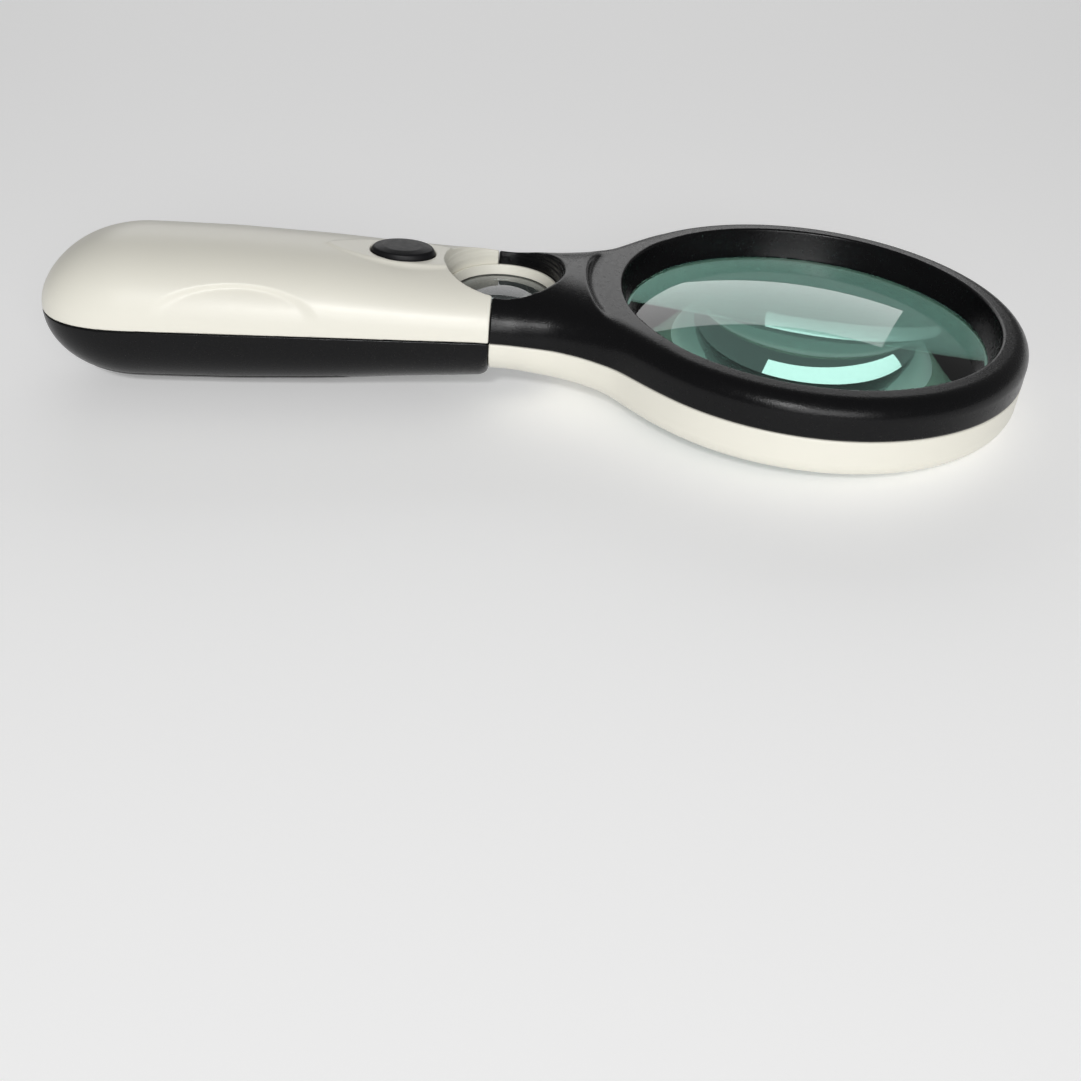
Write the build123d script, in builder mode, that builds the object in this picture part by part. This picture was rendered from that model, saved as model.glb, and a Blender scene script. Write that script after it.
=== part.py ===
"""Hand-held low vision magnifier: a big reading lens in a round two-part rim, a small strong loupe
lens in the neck, two reading lamps and one loupe lamp, and a hollow handle that holds three AAA
cells behind a hinged door, with a push button on top.

The model is drawn in the lens frame: the reading lens is centred on the origin with its axis on Z,
and the handle runs out along -X. Every finished piece is then laid down as it lies on a table,
resting on the handle's belly and on the far edge of the rim.
"""

import os
from math import cos, pi, radians, sin, sqrt

from build123d import *

# --- driving dimensions, in millimetres and degrees -----------------------------------------------
WALL = 1.8  # thickness of the plastic shells
GAP = 0.15  # clearance round pieces that move or drop in

RING_R = 45.0  # outside of the rim at its parting line
RIM_TOP = 8.0  # upper face of the rim above the parting line
RIM_BOTTOM = 8.4  # lower face of the rim below it
RIM_ROUND = 3.2  # rounding of the rim's outer edges
MOUTH_R = 39.1  # bore at the rim's faces
SIGHT_R = 37.5  # bore beside the reading lens
COLLAR_Z = 7.7  # flat foot of the neck on the rim, both sides
STEP_R = 46.0  # where the neck rises out of that foot
SEAT_R = 38.4
LENS_R = 38.2
LENS_EDGE = 3.0
LENS_CURVE = 140.0  # radius of both faces

LOUPE_X = -63.5
LOUPE_HOLE_R = 11.6  # hole through the neck
LOUPE_COLLAR_R = 13.2
LOUPE_TUBE_R = 11.45
LOUPE_SIGHT_R = 9.9
LOUPE_LENS_R = 10.6
LOUPE_LEDGE_Z = 1.9  # ledge the loupe lens stands on
LOUPE_EDGE = 1.5
LOUPE_FOOT_Z = -9.2  # lower end of its tube inside the handle
LOUPE_FRONT_Z = -7.4  # the same inside the shallower neck
LOUPE_STEP_X = -66.2  # where the one meets the other

JOINT_X = -65.2  # end of the neck and start of the handle
TONGUE_X = -71.0  # how far the neck reaches into the handle
THROAT = 3.35  # wall of the neck where the tongue starts
TAIL_X = -159.0
TAIL_ROUND = 21.0  # length over which the handle closes
BEND_X = -68.0  # behind this the handle droops
DROOP = 2.58

CELL_R = 5.25
CELL_LENGTH = 44.5
CELL_NUB_R = 1.9
CELL_NUB = 0.8
CELL_UP = (0.0, 2.4)  # sideways and upwards of the parting line
CELL_LEFT = (5.6, -6.7)
CELL_RIGHT = (-5.6, -6.7)
BAY_BACK = -146.0  # inner face of the cradle's rear wall
BAY_LENGTH = 49.8
CRADLE_WALL = 1.6
CONTACT = 0.4

BUTTON_X = -84.4
BUTTON_LONG = 6.5
BUTTON_WIDE = 5.0
BUTTON_TRAVEL = 1.2

BOARD_Z = 1.6
BOARD = 1.0
POST_X = (-81.4, -90.2)
POST_Y = 8.8

DOOR_FRONT_X = -93.0
DOOR_BACK_X = -149.0
DOOR_HALF = 12.5
DOOR_CORNER = 5.0
DOOR_THICK = 1.6

LAMP_R = 1.5
LAMP_X = -44.6
LAMP_Y = 4.7
LAMP_Z = -8.1
LAMP_DIP = 22.0  # how far the reading lamps look down
LOUPE_LAMP_X = -78.6
LOUPE_LAMP_Z = -8.6
LOUPE_LAMP_DIP = 30.0
WIRE_R = 0.45

REST_TILT = 3.41  # lens frame to table

# --- outline and heights of the body: (x, value) --------------------------------------------------
WIDTHS = [
    (-138, 18.0),
    (-70, 17.0),
    (-61, 16.9),
    (-52, 17.9),
    (-46, 20.1),
    (-40, 23.7),
    (-34, 28.6),
    (-30, 31.4),
]
TOPS = [
    (-135, 14.4),
    (-120, 14.2),
    (-100, 13.1),
    (-84, 11.7),
    (-74, 11.0),
    (-58, 10.5),
    (-46, 9.9),
    (-30, 8.6),
]
BELLIES = [
    (-130, 15.8),
    (-118, 15.7),
    (-100, 14.9),
    (-84, 13.4),
    (-67.4, 12.2),
    (-66.6, 11.9),
    (-65.8, 11.3),
    (-65.2, 10.4),
]
ROOM_BELLIES = [(-130, 15.8), (-118, 15.7), (-100, 14.9), (-84, 13.4), (-65, 11.8)]
NECK_BELLIES = [(-72, 10.0), (-46, 9.8), (-38, 9.4), (-30, 9.0)]
CORNERS = [(-60, 2.25), (-46, 2.9), (-38, 3.6), (-30, 4.2)]  # superellipse exponent of the section
NECK_STATIONS = [JOINT_X, -61, -57, -54, -51.5, -49, -46.5, -44, -41.5, -39, -36.5, -34, -31]


def blend(x, table):
    """Straight-line reading of a short table of (x, value), sorted by x."""
    if x <= table[0][0]:
        return table[0][1]
    for (x0, v0), (x1, v1) in zip(table, table[1:]):
        if x <= x1:
            return v0 + (v1 - v0) * (x - x0) / (x1 - x0)
    return table[-1][1]


def droop(x):
    """Height of the parting line: level under the rim and neck, falling along the handle."""
    return -sin(radians(DROOP)) * max(0.0, BEND_X - x)


def tail_factor(x, inset, power):
    """1 along the handle, falling to 0 at the rounded tail."""
    start = TAIL_X + TAIL_ROUND
    share = min(1.0, max(0.0, start - x) / (TAIL_ROUND - inset))
    return (1.0 - share**power) ** (1.0 / power)


def half_body(stations, inset, heights, up):
    """One side of the handle or neck, lofted through its sections inside the skin by inset."""
    side = 1 if up else -1
    with BuildPart() as body:
        for x in stations:
            half = (blend(x, WIDTHS) - inset) * tail_factor(x, inset, 2.4)
            high = (blend(x, heights) - inset) * tail_factor(x, inset, 2.0)
            corner = blend(x, CORNERS)
            turns = [cos(pi * k / 20) for k in range(21)]
            heights_across = [max(0.0, 1 - abs(c) ** corner) ** (1 / corner) for c in turns]
            points = [(half * c, side * high * h) for c, h in zip(turns, heights_across)]
            with BuildSketch(Plane(origin=(x, 0, droop(x)), x_dir=(0, 1, 0), z_dir=(1, 0, 0))):
                with BuildLine():
                    Spline(points)
                    Line(points[-1], points[0])
                make_face()
        loft(ruled=True)
    return body.part


def handle_stations(inset):
    """Section positions along the handle, close together where the tail rounds off."""
    tail = [TAIL_X + inset + step for step in (0.08, 0.5, 1.3, 2.6, 4.3, 6.5, 9.2, 12.5, 16)]
    return tail + [-139, -135, -130, -122, -114, -107, -100, -93, -86, -79, -73, BEND_X, JOINT_X]


def disc(radius, low, high, x=0.0):
    """A plain round body on the reading lens's axis, or on the loupe's."""
    with BuildPart() as body:
        with BuildSketch(Plane.XY.offset(low)):
            with Locations((x, 0)):
                Circle(radius)
        extrude(amount=high - low)
    return body.part


def block(x0, x1, y0, y1, z0, z1):
    """A plain box between two corners."""
    with BuildPart() as body:
        with BuildSketch(Plane.XY.offset(z0)):
            with Locations(((x0 + x1) / 2, (y0 + y1) / 2)):
                Rectangle(x1 - x0, y1 - y0)
        extrude(amount=z1 - z0)
    return body.part


def handle_plane(x):
    """Cross-section plane of the drooping handle, its normal towards the rim and its Y upwards."""
    along = (cos(radians(DROOP)), 0, sin(radians(DROOP)))
    return Plane(origin=(x, 0, droop(x)), x_dir=(0, 1, 0), z_dir=along)


def lamp_plane(x, y, z, dip):
    """Plane across a lamp, its normal along the beam."""
    beam = (cos(radians(dip)), 0, -sin(radians(dip)))
    return Plane(origin=(x, y, z), x_dir=(0, 1, 0), z_dir=beam)


def beam(plane, radius, back, front):
    """A round cutter along a lamp's axis."""
    with BuildPart() as body:
        with BuildSketch(plane.offset(-back)):
            Circle(radius)
        extrude(amount=back + front)
    return body.part


def ring_half(rim_z, up):
    """Half of the rim: a hollow round section with the lens seat on its parting face."""
    side = 1 if up else -1
    bend = rim_z - RIM_ROUND
    seat = LENS_EDGE / 2
    with BuildPart() as body:
        with BuildSketch(Plane.XZ):
            with BuildLine():
                Line((SEAT_R, 0), (RING_R, 0))
                Line((RING_R, 0), (RING_R, side * bend))
                CenterArc((RING_R - RIM_ROUND, side * bend), RIM_ROUND, 0, side * 90)
                Polyline(
                    (RING_R - RIM_ROUND, side * rim_z),
                    (MOUTH_R, side * rim_z),
                    (SIGHT_R, side * seat),
                    (SEAT_R, side * seat),
                    (SEAT_R, 0),
                )
            make_face()
            with Locations(((RING_R + SEAT_R) / 2 + 0.3, side * (rim_z - WALL) / 2)):
                Rectangle(2.6, rim_z - WALL, mode=Mode.SUBTRACT)
        revolve(axis=Axis.Z)
    return body.part


def bore(rim_z, up):
    """The opening inside the rim, for clearing the neck out of it."""
    side = 1 if up else -1
    with BuildPart() as body:
        with BuildSketch(Plane.XZ):
            with BuildLine():
                Polyline(
                    (0, 0),
                    (SEAT_R + 1, 0),
                    (SEAT_R + 1, side * LENS_EDGE / 2),
                    (MOUTH_R + 1, side * rim_z),
                    (MOUTH_R + 1, side * 20),
                    (0, side * 20),
                    close=True,
                )
            make_face()
        revolve(axis=Axis.Z)
    return body.part


# --- the two frame shells: rim and neck -----------------------------------------------------------
neck_skins = {
    True: half_body(NECK_STATIONS, 0, TOPS, True),
    False: half_body(NECK_STATIONS, 0, NECK_BELLIES, False),
}
hollow_stations = [-62] + NECK_STATIONS[2:8]
tongue_stations = [TONGUE_X, -68, JOINT_X, -62]
throat_stations = [TONGUE_X - 1, -68, JOINT_X, -61.5]
step_keep = disc(STEP_R + WALL, -20, 20)
loupe_bore = disc(LOUPE_HOLE_R, -20, 20, LOUPE_X)
tongue_clear = disc(LOUPE_COLLAR_R + 2 * GAP, -20, 20, LOUPE_X)
wire_gap = block(TONGUE_X - 2, JOINT_X, -20, 20, -2.2, 2.2)
wire_channel = block(TONGUE_X - 2, -61.6, -14.9, 14.9, -2.2, 2.2)
rib_steps = [disc(LOUPE_HOLE_R + 0.3 * k, 5.4 + 1.2 * k, 20, LOUPE_X) for k in (1, 2, 3)]


collar_disc = disc(LOUPE_COLLAR_R, 3.0, 20, LOUPE_X)
with BuildPart() as neck_collar:
    add(neck_skins[True])
    add(collar_disc, mode=Mode.INTERSECT)


def frame_shell(up):
    """Rim, neck and the tongue that slides into the handle, hollow from the parting face."""
    side = 1 if up else -1
    heights = TOPS if up else NECK_BELLIES
    rim_z = RIM_TOP if up else RIM_BOTTOM
    ring = ring_half(rim_z, up)
    clear = bore(rim_z, up)
    foot_cut = disc(STEP_R, side * COLLAR_Z, side * 20)
    hollow = half_body(hollow_stations, WALL, heights, up)
    tongue = half_body(tongue_stations, WALL + GAP, heights, up)
    throat = half_body(throat_stations, THROAT, heights, up)
    with BuildPart() as room:
        add(hollow)
        add(step_keep, mode=Mode.SUBTRACT)
    with BuildPart() as side_tongues:
        add(tongue)
        add(tongue_clear, mode=Mode.SUBTRACT)
        add(wire_gap, mode=Mode.SUBTRACT)
    with BuildPart() as shell:
        add(neck_skins[up])
        add(foot_cut, mode=Mode.SUBTRACT)
        add(clear, mode=Mode.SUBTRACT)
        add(room.part, mode=Mode.SUBTRACT)
        add(side_tongues.part)
        add(throat, mode=Mode.SUBTRACT)
        add(wire_channel, mode=Mode.SUBTRACT)
        if up:
            add(neck_collar.part)
        add(ring)
        add(loupe_bore, mode=Mode.SUBTRACT)
        if up:
            for step in rib_steps:
                add(step, mode=Mode.SUBTRACT)
    return shell.part


frame_top = frame_shell(True)
frame_bottom = frame_shell(False)
lamp_planes = [lamp_plane(LAMP_X, side * LAMP_Y, LAMP_Z, LAMP_DIP) for side in (1, -1)]
lamp_cuts = [beam(plane, LAMP_R + GAP, 6.0, 3.4) for plane in lamp_planes]
with BuildPart() as frame_top_shell:
    add(frame_top)
with BuildPart() as frame_bottom_shell:
    add(frame_bottom)
    for cut in lamp_cuts:
        add(cut, mode=Mode.SUBTRACT)

# --- the two handle shells ------------------------------------------------------------------------
handle_top_skin = half_body(handle_stations(0), 0, TOPS, True)
handle_top_room = half_body(handle_stations(WALL), WALL, TOPS, True)
belly_stations = handle_stations(0)[:-1] + [-67.4, -66.6, -65.8, JOINT_X]
handle_belly_skin = half_body(belly_stations, 0, BELLIES, False)
handle_belly_room = half_body(handle_stations(WALL), WALL, ROOM_BELLIES, False)
with BuildPart() as handle_collar:
    add(handle_top_skin)
    add(collar_disc, mode=Mode.INTERSECT)
with BuildPart() as posts:
    with BuildSketch(Plane.XY.offset(BOARD_Z + BOARD)):
        with Locations([(x, y) for x in POST_X for y in (POST_Y, -POST_Y)]):
            Circle(1.8)
    extrude(amount=6.2)
with BuildPart() as handle_top_shell:
    add(handle_top_skin)
    add(handle_top_room, mode=Mode.SUBTRACT)
    add(handle_collar.part)
    add(posts.part)
    add(loupe_bore, mode=Mode.SUBTRACT)
    for step in rib_steps:
        add(step, mode=Mode.SUBTRACT)
    with BuildSketch(Plane.XY.offset(5)):
        with Locations((BUTTON_X, 0)):
            Ellipse(BUTTON_LONG + 0.25, BUTTON_WIDE + 0.25)
    extrude(amount=12, mode=Mode.SUBTRACT)
    with BuildSketch(Plane.XY.offset(BOARD_Z + BOARD)):
        with Locations([(x, y) for x in POST_X for y in (POST_Y, -POST_Y)]):
            Circle(0.85)
    extrude(amount=4.0, mode=Mode.SUBTRACT)


def door_outline(grow):
    """Plan of the battery door as a tall block."""
    with BuildPart() as body:
        with BuildSketch(Plane.XY.offset(-30)):
            with Locations(((DOOR_FRONT_X + DOOR_BACK_X) / 2, 0)):
                RectangleRounded(
                    DOOR_FRONT_X - DOOR_BACK_X + 2 * grow, 2 * (DOOR_HALF + grow), DOOR_CORNER + grow
                )
        extrude(amount=24)
    return body.part


door_hole = door_outline(0.3)
door_block = door_outline(0.0)
door_room = half_body(handle_stations(DOOR_THICK), DOOR_THICK, BELLIES, False)
lip_z = droop(DOOR_FRONT_X) - blend(DOOR_FRONT_X, BELLIES)
door_tab = block(DOOR_FRONT_X - 2.4, DOOR_FRONT_X + 1.3, -4.6, 4.6, lip_z + 2.5, lip_z + 3.6)
door_web = block(DOOR_FRONT_X - 2.4, DOOR_FRONT_X - 0.2, -4.6, 4.6, lip_z + 1.0, lip_z + 3.0)
loupe_lamp_plane = lamp_plane(LOUPE_LAMP_X, 0, LOUPE_LAMP_Z, LOUPE_LAMP_DIP)
scoop = beam(lamp_plane(-78.0, 0, -9.4, 34), 3.7, 0.6, 12)
with BuildPart() as handle_bottom_shell:
    add(handle_belly_skin)
    add(handle_belly_room, mode=Mode.SUBTRACT)
    add(door_hole, mode=Mode.SUBTRACT)
    add(loupe_bore, mode=Mode.SUBTRACT)
    add(scoop, mode=Mode.SUBTRACT)
with BuildPart() as battery_door:
    add(handle_belly_skin)
    add(door_block, mode=Mode.INTERSECT)
    add(door_room, mode=Mode.SUBTRACT)
    add(door_web)
    add(door_tab)

# --- optics ---------------------------------------------------------------------------------------
def lens(plane, edge_r, face_r, edge_low, edge_high, drop, rise):
    """A round lens with a flat-rimmed edge and two spherical faces that stand out by drop and rise."""
    low_curve = (face_r**2 + drop**2) / (2 * drop)
    high_curve = (face_r**2 + rise**2) / (2 * rise)
    half = face_r / 2
    low_mid = edge_low - drop + low_curve - sqrt(low_curve**2 - half**2)
    high_mid = edge_high + rise - high_curve + sqrt(high_curve**2 - half**2)
    with BuildPart() as body:
        with BuildSketch(plane):
            with BuildLine():
                Line((0, edge_low - drop), (0, edge_high + rise))
                ThreePointArc((0, edge_high + rise), (half, high_mid), (face_r, edge_high))
                Line((face_r, edge_high), (edge_r, edge_high))
                Line((edge_r, edge_high), (edge_r, edge_low))
                Line((edge_r, edge_low), (face_r, edge_low))
                ThreePointArc((face_r, edge_low), (half, low_mid), (0, edge_low - drop))
            make_face()
        revolve(axis=Axis(origin=plane.origin, direction=(0, 0, 1)))
    return body.part


loupe_plane = Plane(origin=(LOUPE_X, 0, 0), x_dir=(1, 0, 0), z_dir=(0, -1, 0))
loupe_axis = Axis(origin=(LOUPE_X, 0, 0), direction=(0, 0, 1))
loupe_crown = LOUPE_LEDGE_Z + LOUPE_EDGE
lens_face = SIGHT_R - 0.1
sag = LENS_CURVE - sqrt(LENS_CURVE**2 - lens_face**2)
big_lens = lens(Plane.XZ, LENS_R, lens_face, -LENS_EDGE / 2, LENS_EDGE / 2, sag, sag)
small_lens = lens(loupe_plane, LOUPE_LENS_R, LOUPE_SIGHT_R - 0.1, LOUPE_LEDGE_Z, loupe_crown, 3.4, 1.3)
with BuildPart() as main_lens:
    add(big_lens)
with BuildPart() as loupe_lens:
    add(small_lens)

foot_trim = block(LOUPE_STEP_X, -50, -15, 15, -12, LOUPE_FRONT_Z)
with BuildPart() as loupe_tube:
    with BuildSketch(loupe_plane):
        with BuildLine():
            Polyline(
                (LOUPE_SIGHT_R, LOUPE_LEDGE_Z),
                (LOUPE_LENS_R + GAP, LOUPE_LEDGE_Z),
                (LOUPE_LENS_R + GAP, LOUPE_LEDGE_Z + LOUPE_EDGE),
                (LOUPE_TUBE_R, LOUPE_LEDGE_Z + LOUPE_EDGE),
                (LOUPE_TUBE_R, LOUPE_FOOT_Z),
                (LOUPE_TUBE_R - 0.8, LOUPE_FOOT_Z),
                close=True,
            )
        make_face()
    revolve(axis=loupe_axis)
    add(foot_trim, mode=Mode.SUBTRACT)

with BuildPart() as loupe_retaining_ring:
    with BuildSketch(loupe_plane):
        with BuildLine():
            Polyline(
                (LOUPE_SIGHT_R + 0.1, loupe_crown),
                (LOUPE_TUBE_R, loupe_crown),
                (LOUPE_TUBE_R, 5.4),
                (LOUPE_SIGHT_R + 0.8, 5.4),
                close=True,
            )
        make_face()
    revolve(axis=loupe_axis)

# --- push button and its switch -------------------------------------------------------------------
BUTTON_FOOT = 7.6
SWITCH_TOP = 6.0
with BuildPart() as switch_button:
    with BuildSketch(Plane.XY.offset(BUTTON_FOOT)):
        with Locations((BUTTON_X, 0)):
            Ellipse(BUTTON_LONG + 1.0, BUTTON_WIDE + 0.8)
    extrude(amount=0.8)
    with BuildSketch(Plane.XY.offset(BUTTON_FOOT)):
        with Locations((BUTTON_X, 0)):
            Ellipse(BUTTON_LONG, BUTTON_WIDE)
    extrude(amount=4.9)
    fillet(switch_button.edges().group_by(Axis.Z)[-1], radius=1.3)
with BuildPart() as switch_plunger:
    with BuildSketch(Plane.XY.offset(5.0)):
        with Locations((BUTTON_X, 0)):
            Circle(1.6)
    extrude(amount=BUTTON_FOOT - 5.0)
with BuildPart() as switch_body:
    with BuildSketch(Plane.XY.offset(BOARD_Z + BOARD)):
        with Locations((BUTTON_X, 0)):
            Rectangle(8, 8)
    extrude(amount=SWITCH_TOP - BOARD_Z - BOARD)
    with BuildSketch(Plane.XY.offset(4.6)):
        with Locations((BUTTON_X, 0)):
            Circle(3.4)
    extrude(amount=2, mode=Mode.SUBTRACT)
    with BuildSketch(Plane.XY.offset(3.5)):
        with Locations((BUTTON_X, 0)):
            Circle(2.0)
    extrude(amount=2, mode=Mode.SUBTRACT)


def coil(plane, radius, wire, length, turns):
    """A round-wire helical spring standing on a plane."""
    pitch = (length - 2 * wire) / turns
    with BuildPart() as body:
        with BuildLine(plane.offset(wire)) as path:
            Helix(pitch, length - 2 * wire, radius)
        with BuildSketch(Plane(origin=path.line @ 0, z_dir=path.line % 0)):
            Circle(wire)
        sweep(is_frenet=True)
    return body.part


spring_coil = coil(Plane(origin=(BUTTON_X, 0, 4.6)), 2.7, 0.25, 3.0, 4)
with BuildPart() as switch_spring:
    add(spring_coil)

# --- circuit board --------------------------------------------------------------------------------
with BuildPart() as circuit_board:
    with BuildSketch(Plane.XY.offset(BOARD_Z)):
        with Locations((-85.6, 0)):
            RectangleRounded(13.6, 24, 1.2)
        with Locations([(x, y) for x in POST_X for y in (POST_Y, -POST_Y)]):
            Circle(1.0, mode=Mode.SUBTRACT)
    extrude(amount=BOARD)
with BuildPart() as board_screws:
    with BuildSketch(Plane.XY.offset(BOARD_Z - 0.9)):
        with Locations([(x, y) for x in POST_X for y in (POST_Y, -POST_Y)]):
            Circle(1.6)
    extrude(amount=0.9)
    with BuildSketch(Plane.XY.offset(BOARD_Z)):
        with Locations([(x, y) for x in POST_X for y in (POST_Y, -POST_Y)]):
            Circle(0.75)
    extrude(amount=4.2)
with BuildPart() as resistors:
    with BuildSketch(Plane.XY.offset(BOARD_Z + BOARD)):
        with Locations((-90.4, 3.0), (-90.4, 0.0), (-90.4, -3.0)):
            Rectangle(1.4, 2.4)
    extrude(amount=0.6)

# --- cells, cradle and contacts -------------------------------------------------------------------
tip = CELL_NUB + CONTACT
bay_back = handle_plane(BAY_BACK)
bay_front = bay_back.offset(BAY_LENGTH)
front_seat = bay_front.offset(-tip - CELL_LENGTH)
back_seat = bay_back.offset(tip)


def cell(plane, spot, nub_front):
    """One AAA cell with its nub at the front or at the back."""
    with BuildPart() as body:
        with BuildSketch(plane):
            with Locations(spot):
                Circle(CELL_R)
        extrude(amount=CELL_LENGTH)
        with BuildSketch(plane.offset(CELL_LENGTH) if nub_front else plane):
            with Locations(spot):
                Circle(CELL_NUB_R)
        extrude(amount=CELL_NUB if nub_front else -CELL_NUB)
    return body.part


upper_cell = cell(front_seat, CELL_UP, True)
left_cell = cell(back_seat, CELL_LEFT, False)
right_cell = cell(front_seat, CELL_RIGHT, True)
with BuildPart() as battery_upper:
    add(upper_cell)
with BuildPart() as battery_left:
    add(left_cell)
with BuildPart() as battery_right:
    add(right_cell)

WIRE_HOLE_UP = 4.6  # how far above a cell's axis its wire leaves
arch_inset = WALL + GAP
arch_stations = [BAY_BACK - CRADLE_WALL, -143, -139, -135, -130, -122, -114, -107, -100, -94.6]
arch_outer = half_body(arch_stations, arch_inset, TOPS, True)
arch_inner = half_body(arch_stations, arch_inset + 1.4, TOPS, True)
lower_outer = half_body(arch_stations, arch_inset, ROOM_BELLIES, False)
with BuildPart() as bay_span:
    with BuildSketch(bay_back):
        Rectangle(60, 60)
    extrude(amount=BAY_LENGTH)
with BuildPart() as arch_room:
    add(arch_inner)
    add(bay_span.part, mode=Mode.INTERSECT)
with BuildPart() as belly_cut:
    with BuildSketch(bay_back.offset(-10)):
        with Locations((0, -30.2)):
            Rectangle(60, 40)
    extrude(amount=BAY_LENGTH + 20)
with BuildPart() as lower_ends:
    add(lower_outer)
    add(bay_span.part, mode=Mode.SUBTRACT)
    add(belly_cut.part, mode=Mode.SUBTRACT)
with BuildPart() as battery_cradle:
    add(arch_outer)
    add(arch_room.part, mode=Mode.SUBTRACT)
    add(lower_ends.part)
    with BuildSketch(bay_front.offset(-1)):
        with Locations([(spot[0], spot[1] + WIRE_HOLE_UP) for spot in (CELL_LEFT, CELL_RIGHT)]):
            Circle(0.7)
    extrude(amount=5, mode=Mode.SUBTRACT)

with BuildPart() as contact_plates:
    for plane in (bay_front.offset(-CONTACT), bay_back):
        for spot in (CELL_LEFT, CELL_RIGHT):
            with BuildSketch(plane):
                with Locations((spot[0], spot[1] + 1.2)):
                    Rectangle(7.6, 8.0)
            extrude(amount=CONTACT)
        with BuildSketch(plane):
            with Locations((CELL_UP[0], CELL_UP[1] + 0.6)):
                Rectangle(7.0, 7.4)
        extrude(amount=CONTACT)

spring_room = BAY_LENGTH - 2 * CONTACT - CELL_LENGTH - CELL_NUB
spring_back = bay_back.offset(CONTACT).location
spring_front = bay_front.offset(-CONTACT - spring_room).location
cell_spring = coil(Plane.XY, 2.6, 0.3, spring_room, 3)
spring_places = [(spring_back, CELL_UP), (spring_back, CELL_RIGHT), (spring_front, CELL_LEFT)]
with BuildPart() as contact_springs:
    with Locations([end * Location(spot) for end, spot in spring_places]):
        add(cell_spring)


# --- lamps ----------------------------------------------------------------------------------------
def lamp(plane, legs):
    """A round-nosed lamp with two legs out of its back."""
    with BuildPart() as body:
        with BuildSketch(plane.offset(-3.6)):
            Circle(LAMP_R)
        extrude(amount=3.3)
        fillet(body.edges().sort_by(Axis(plane.origin, plane.z_dir))[-1], radius=LAMP_R - 0.1)
        with BuildSketch(plane.offset(-3.6)):
            with Locations((0.6, 0), (-0.6, 0)):
                Circle(0.22)
        extrude(amount=-legs)
    return body.part


left_lamp = lamp(lamp_planes[0].offset(0.8), 2.2)
right_lamp = lamp(lamp_planes[1].offset(0.8), 2.2)
loupe_lamp = lamp(loupe_lamp_plane.offset(0.6), 2.2)
with BuildPart() as led_left:
    add(left_lamp)
with BuildPart() as led_right:
    add(right_lamp)
with BuildPart() as led_loupe:
    add(loupe_lamp)

leg_holes = [beam(plane, 0.95, 8, 0) for plane in lamp_planes]
with BuildPart() as led_board:
    with BuildSketch(Plane(origin=(-50.6, 0, 0), x_dir=(0, 1, 0), z_dir=(1, 0, 0))):
        with Locations((0, -4.4)):
            Rectangle(20, 5.6)
    extrude(amount=1.0)
    for hole in leg_holes:
        add(hole, mode=Mode.SUBTRACT)

holder_block = block(-84.5, -75.4, -4.9, 4.9, -13.0, -4.2)
holder_room = half_body(handle_stations(WALL), WALL + 0.05, ROOM_BELLIES, False)
loupe_clear = disc(LOUPE_HOLE_R + 0.1, -20, 20, LOUPE_X)
lamp_bed = beam(loupe_lamp_plane, LAMP_R + GAP, 10, 3)
with BuildPart() as loupe_lamp_holder:
    add(holder_block)
    add(holder_room, mode=Mode.INTERSECT)
    add(loupe_clear, mode=Mode.SUBTRACT)
    add(scoop, mode=Mode.SUBTRACT)
    add(lamp_bed, mode=Mode.SUBTRACT)


# --- wires ----------------------------------------------------------------------------------------
def wire(points, bend):
    """A round insulated wire: straight runs joined by tangent arcs."""
    with BuildPart() as body:
        with BuildLine() as path:
            FilletPolyline(*points, radius=bend)
        with BuildSketch(Plane(origin=path.line @ 0, z_dir=path.line % 0)):
            Circle(WIRE_R)
        sweep()
    return body.part


def battery_wire(spot):
    """From a contact plate through the cradle wall to the underside of the board."""
    start = bay_front.from_local_coords((spot[0], spot[1] + WIRE_HOLE_UP, 0))
    turn = bay_front.from_local_coords((spot[0], spot[1] + WIRE_HOLE_UP, 5.2))
    return wire([start, turn, (turn.X, spot[0], BOARD_Z)], 1.8)


def lamp_wire(side):
    """From the board round the loupe tube to the lamp board."""
    points = [
        (-80.6, 6.6, BOARD_Z),
        (-80.6, 6.6, -2.4),
        (-72.0, 12.4, -0.6),
        (-63.5, 13.6, -0.1),
        (-56.8, 12.2, -1.6),
        (-54.4, 8.8, -3.6),
        (-50.6, 8.8, -3.6),
    ]
    return wire([(x, side * y, z) for x, y, z in points], 1.4)


red_path = battery_wire(CELL_RIGHT)
black_path = battery_wire(CELL_LEFT)
with BuildPart() as battery_wire_red:
    add(red_path)
with BuildPart() as battery_wire_black:
    add(black_path)
lamp_paths = [lamp_wire(1), lamp_wire(-1)]
with BuildPart() as lamp_wires:
    for one in lamp_paths:
        add(one)
loupe_back = loupe_lamp_plane.offset(-5.2).origin
loupe_path = wire([(-88.0, 0, BOARD_Z), (-88.0, 0, -3.4), (loupe_back.X, 0, loupe_back.Z)], 2.0)
with BuildPart() as loupe_lamp_wire:
    add(loupe_path)

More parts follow.
